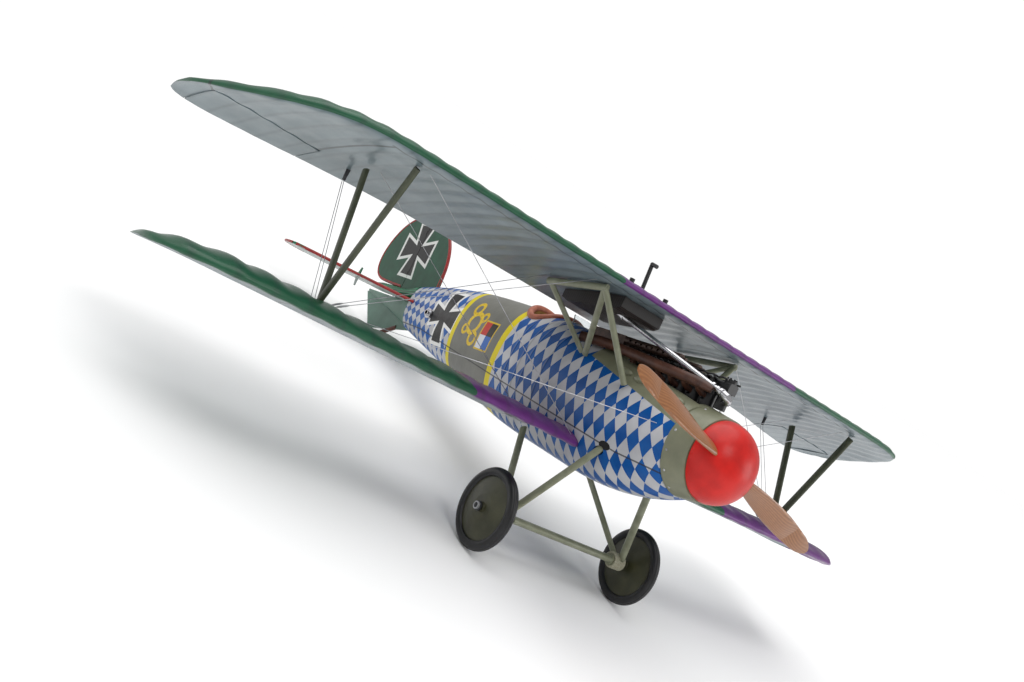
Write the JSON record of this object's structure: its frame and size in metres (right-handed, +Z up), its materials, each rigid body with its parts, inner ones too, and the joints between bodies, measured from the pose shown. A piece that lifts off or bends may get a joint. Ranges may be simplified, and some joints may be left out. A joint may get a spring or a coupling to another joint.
{
  "type": "rubber band plane",
  "caption": "Rubber-driven scale model biplane with V struts, round plywood hull, spinner and propeller, disc wheels, hinged ailerons, rudder and elevator.",
  "frame": {"origin": "centre of the bounding box on the floor plane, with both tyres and the tail skid on the floor", "axes": "+X to port along the span, +Y aft from nose to tail, +Z up"},
  "size_m": [0.601, 0.4708, 0.1925],
  "materials": {
    "black_engine": "satin black casting",
    "brass": "turned brass",
    "clear_screen": "clear with tinted edge",
    "cowl_green": "satin grey-green",
    "disc_olive": "satin dark olive",
    "elevator_cloth": "satin doped, green above and white below",
    "exhaust_brown": "heat-browned pipe",
    "fin_green": "satin doped green with red rim and cross",
    "gun_metal": "dark brown-black metal",
    "leather": "brown padded leather",
    "natural_rubber": "matt tan rubber strip",
    "peg_tube": "satin aluminium tube",
    "plywood": "sanded",
    "polished_pipe": "polished",
    "printed_ply": "satin, blue and white lozenge pattern",
    "prop_wood": "varnished laminated wood",
    "radiator_brown": "dark brown core",
    "seat_leather": "dark tan leather",
    "skid_brown": "oiled brown wood",
    "spinner_red": "gloss red",
    "steel_wire": "bright drawn wire",
    "strut_grey": "satin pale grey-green",
    "strut_olive": "satin dark olive",
    "tyre_black": "matt black rubber",
    "wing_cloth": "satin doped, pale blue-grey below, green and purple above"
  },
  "bodies": {
    "airframe": {"aileron_cables": "steel_wire", "axle": "steel_wire", "cabane_port": "strut_grey", "cabane_starboard": "strut_grey", "cam_cover": "black_engine", "cockpit_coaming": "leather", "cockpit_floor": "plywood", "coolant_pipe": "polished_pipe", "cowl_louvres": "cowl_green", "crankcase": "black_engine", "cylinders": "black_engine", "exhaust_manifold": "exhaust_brown", "filler_pipe": "black_engine", "fin": "fin_green", "former_peg": "plywood", "former_tail": "plywood", "fuselage_shell_port": "printed_ply", "fuselage_shell_starboard": "printed_ply", "gear_leg_port": "strut_grey", "gear_leg_starboard": "strut_grey", "gun_port": "gun_metal", "gun_starboard": "gun_metal", "hinge_pins": "steel_wire", "hub_nuts": "brass", "lower_wing_port": "wing_cloth", "lower_wing_starboard": "wing_cloth", "motor_peg": "peg_tube", "nose_block": "plywood", "nose_ring": "cowl_green", "peg_bushes": "plywood", "radiator": "radiator_brown", "rigging_wires": "steel_wire", "rubber_motor": "natural_rubber", "seat": "seat_leather", "spreader_bar": "strut_grey", "tail_cone": "cowl_green", "tail_skid": "skid_brown", "tailplane": "elevator_cloth", "thrust_bush": "brass", "upper_cowl": "cowl_green", "upper_wing": "wing_cloth", "v_strut_port": "strut_olive", "v_strut_starboard": "strut_olive", "ventral_fin": "cowl_green", "windscreen": "clear_screen", "wing_joiners": "steel_wire"},
    "propeller": {"propeller": "prop_wood", "spinner": "spinner_red", "spinner_backplate": "peg_tube", "prop_shaft": "steel_wire", "prop_nut": "brass", "thrust_washers": "brass"},
    "wheel_port": {"wheel_disc_port": "disc_olive", "tyre_port": "tyre_black"},
    "wheel_starboard": {"wheel_disc_starboard": "disc_olive", "tyre_starboard": "tyre_black"},
    "rudder": {"rudder": "fin_green"},
    "elevator": {"elevator": "elevator_cloth"},
    "aileron_port": {"aileron_port": "wing_cloth"},
    "aileron_starboard": {"aileron_starboard": "wing_cloth"}
  },
  "joints": [
    {"name": "propeller_spin", "type": "hinge", "parent": "airframe", "child": "propeller", "pos_m": [0, -0.22324, 0.12836], "axis": [0, 0.962, -0.2731], "continuous": true, "deforming": ["rubber_motor"]},
    {"name": "wheel_spin_port", "type": "hinge", "parent": "airframe", "child": "wheel_port", "pos_m": [0.0626, -0.15308, 0.02507], "axis": [1, 0, 0], "continuous": true},
    {"name": "wheel_spin_starboard", "type": "hinge", "parent": "airframe", "child": "wheel_starboard", "pos_m": [-0.0626, -0.15308, 0.02507], "axis": [1, 0, 0], "continuous": true},
    {"name": "rudder_hinge", "type": "hinge", "parent": "airframe", "child": "rudder", "pos_m": [0, 0.18419, 0.07505], "axis": [0, 0.2731, 0.962], "range_deg": [-25, 25]},
    {"name": "elevator_hinge", "type": "hinge", "parent": "airframe", "child": "elevator", "pos_m": [0, 0.17083, 0.03935], "axis": [1, 0, 0], "range_deg": [-20, 20]},
    {"name": "aileron_port_hinge", "type": "hinge", "parent": "airframe", "child": "aileron_port", "pos_m": [0.24, -0.04903, 0.14113], "axis": [1, 0, 0], "range_deg": [-18, 18]},
    {"name": "aileron_starboard_hinge", "type": "hinge", "parent": "airframe", "child": "aileron_starboard", "pos_m": [-0.24, -0.04903, 0.14113], "axis": [1, 0, 0], "range_deg": [-18, 18]}
  ],
  "couplings": [
    {"joint": "aileron_starboard_hinge", "follows": "aileron_port_hinge", "ratio": -1}
  ]
}
